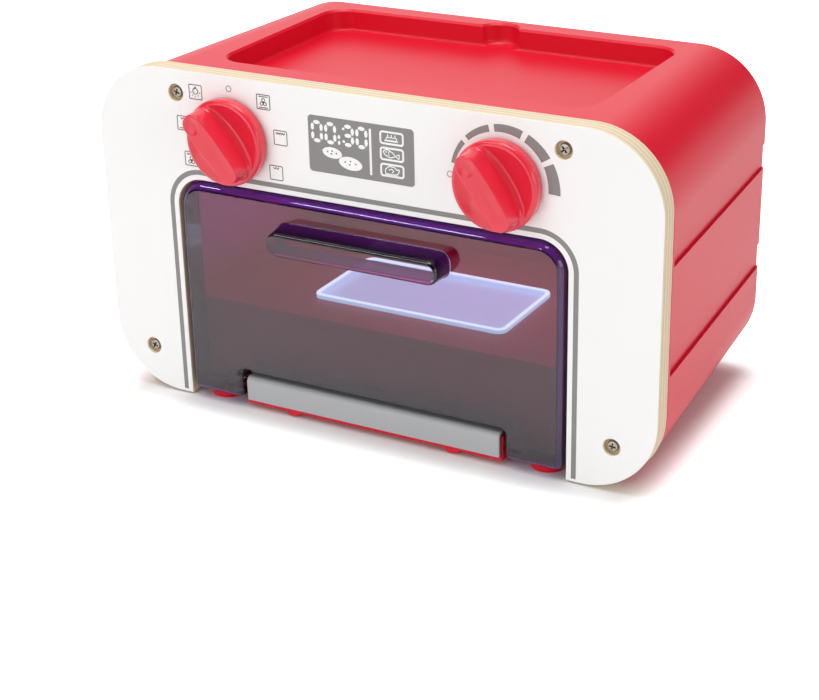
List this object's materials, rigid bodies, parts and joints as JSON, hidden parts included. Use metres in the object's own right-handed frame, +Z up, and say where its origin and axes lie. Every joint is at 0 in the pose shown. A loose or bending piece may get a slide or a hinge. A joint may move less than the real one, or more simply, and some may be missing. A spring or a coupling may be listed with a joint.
{
  "type": "toy oven",
  "caption": "Toy oven with a plywood front, tapered red housing, smoked drop-down door with a moulded handle, two grip knobs, a lit cavity floor and a recessed top.",
  "frame": {"origin": "on the ground under the middle of the oven's bounding box", "axes": "+X to the oven's right as seen from the front, +Y from the front panel towards the back, +Z up"},
  "size_m": [0.3, 0.1776, 0.1728],
  "materials": {
    "plywood": "plywood sprayed white on its face with a grey print, its cut edge left bare",
    "housing_red": "satin",
    "knob_red": "semi-gloss",
    "smoked_plastic": "gloss, smoked and slightly see-through",
    "silver_plastic": "satin silver",
    "liner_red": "satin",
    "opal_plastic": "opal, lit from below",
    "white_plastic": "matt",
    "steel": "zinc plated",
    "black_plastic": "matt",
    "board_green": "solder mask",
    "lamp_clear": "clear",
    "cell_sleeve": "printed foil sleeve, plain"
  },
  "bodies": {
    "body": {"front_panel": "plywood", "housing": "housing_red", "sill_trim": "silver_plastic", "hinge_pin_left": "steel", "hinge_pin_right": "steel", "cavity_liner": "liner_red", "light_plate": "opal_plastic", "light_box": "white_plastic", "led_board": "board_green", "rotary_switch_left": "black_plastic", "rotary_switch_right": "black_plastic", "control_board": "board_green", "battery_cover": "housing_red", "battery_cover_screw": "steel", "panel_screw_1": "steel", "panel_screw_2": "steel", "panel_screw_3": "steel", "panel_screw_4": "steel", "liner_screw_1": "steel", "liner_screw_2": "steel", "liner_screw_3": "steel", "liner_screw_4": "steel", "liner_screw_5": "steel", "liner_screw_6": "steel", "light_box_screw_1": "steel", "light_box_screw_2": "steel", "led_1": "lamp_clear", "led_2": "lamp_clear", "led_3": "lamp_clear", "led_4": "lamp_clear", "led_5": "lamp_clear", "led_6": "lamp_clear", "board_spacer_1": "white_plastic", "board_spacer_2": "white_plastic", "board_spacer_3": "white_plastic", "board_spacer_4": "white_plastic", "board_screw_1": "steel", "board_screw_2": "steel", "board_screw_3": "steel", "board_screw_4": "steel", "battery_1": "cell_sleeve", "battery_2": "cell_sleeve", "battery_3": "cell_sleeve", "battery_contact_1": "steel", "battery_contact_2": "steel", "battery_contact_3": "steel", "battery_contact_4": "steel"},
    "door": {"door": "smoked_plastic"},
    "knob_left": {"knob_left": "knob_red", "knob_shaft_left": "steel"},
    "knob_right": {"knob_right": "knob_red", "knob_shaft_right": "steel"}
  },
  "joints": [
    {"name": "door_hinge", "type": "hinge", "parent": "body", "child": "door", "pos_m": [0, -0.06565, 0.0114], "axis": [1, 0, 0], "range_deg": [0, 84]},
    {"name": "knob_left_turn", "type": "hinge", "parent": "body", "child": "knob_left", "pos_m": [-0.0718, -0.07085, 0.1417], "axis": [0, 1, 0], "range_deg": [-76, 158]},
    {"name": "knob_right_turn", "type": "hinge", "parent": "body", "child": "knob_right", "pos_m": [0.0718, -0.07085, 0.1417], "axis": [0, 1, 0], "range_deg": [-54, 130]}
  ]
}
